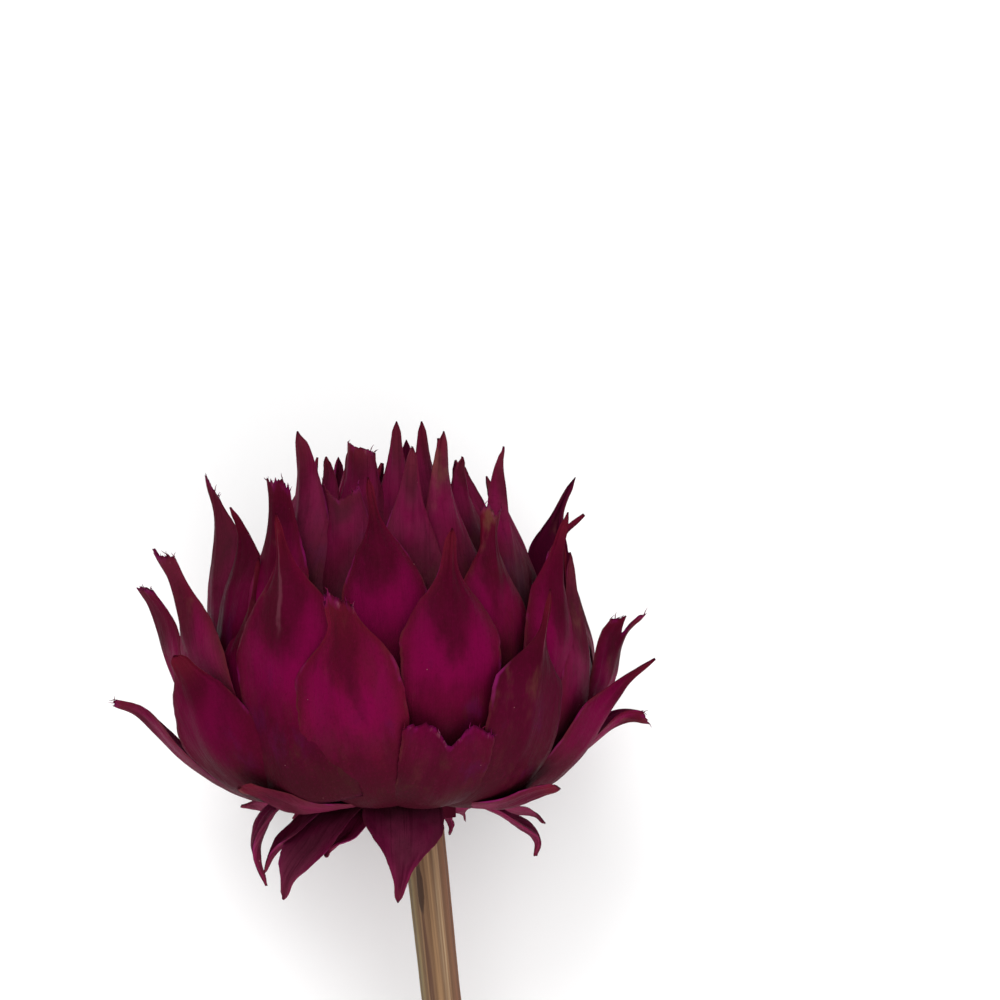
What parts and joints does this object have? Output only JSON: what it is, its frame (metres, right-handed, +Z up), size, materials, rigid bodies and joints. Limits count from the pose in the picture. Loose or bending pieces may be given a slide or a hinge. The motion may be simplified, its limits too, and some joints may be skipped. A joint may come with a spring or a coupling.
{
  "type": "dried artichoke head",
  "caption": "Dried artichoke head on its cut stem, lying on its side, with layered pointed bracts round a closed crown and a ruff of turned-back bracts under it.",
  "frame": {"origin": "centre of the bounding box's bottom, on the surface that the part lies on", "axes": "+Y from the stem's cut end to the crown, +Z up, out of the side of the head that faces up"},
  "size_m": [0.1092, 0.2218, 0.0931],
  "materials": {
    "bract": "dry dyed bract, satin",
    "stem": "dry ribbed stem, matte"
  },
  "bodies": {
    "root": {"head": "bract", "stem": "stem"}
  },
  "joints": []
}
